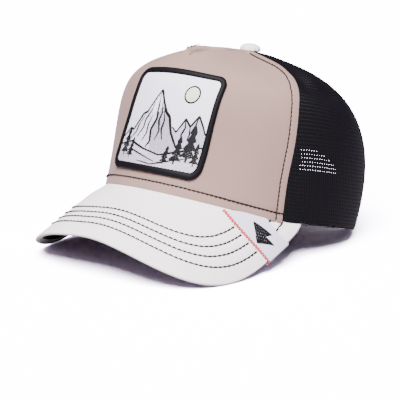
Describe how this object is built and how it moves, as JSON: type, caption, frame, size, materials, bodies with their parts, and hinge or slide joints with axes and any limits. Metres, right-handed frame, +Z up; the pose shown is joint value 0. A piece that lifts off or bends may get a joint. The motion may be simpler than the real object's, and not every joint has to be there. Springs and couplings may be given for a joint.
{
  "type": "trucker hat",
  "caption": "Trucker hat with a padded cloth front, net sides and back, a curved stitched peak, a front patch, a top button and a rear strap.",
  "frame": {"origin": "the middle of the hat's footprint, on the surface that it rests on", "axes": "+Z up, the peak points towards -Y, the wearer's left is +X"},
  "size_m": [0.1832, 0.252, 0.1425],
  "materials": {
    "greige_cotton": "matt woven cotton over a thin foam",
    "black_net": "knitted polyester net with a soft sheen",
    "white_cotton": "matt woven cotton",
    "dark_cotton": "matt woven cotton",
    "grey_cotton": "smooth woven ribbon",
    "black_band": "matt cotton twill tape",
    "black_plastic": "satin moulded plastic",
    "patch_thread": "embroidery thread with a satin sheen",
    "black_thread": "dense satin stitch"
  },
  "bodies": {
    "root": {"front_panel": "greige_cotton", "mesh_side_left": "black_net", "mesh_side_right": "black_net", "mesh_back_left": "black_net", "mesh_back_right": "black_net", "peak_top": "white_cotton", "peak_underside": "dark_cotton", "peak_corner_strip": "grey_cotton", "sweatband": "black_band", "opening_binding": "black_band", "snap_strap": "black_plastic", "top_button": "white_cotton", "patch_field": "patch_thread", "patch_border": "black_thread"}
  },
  "joints": []
}
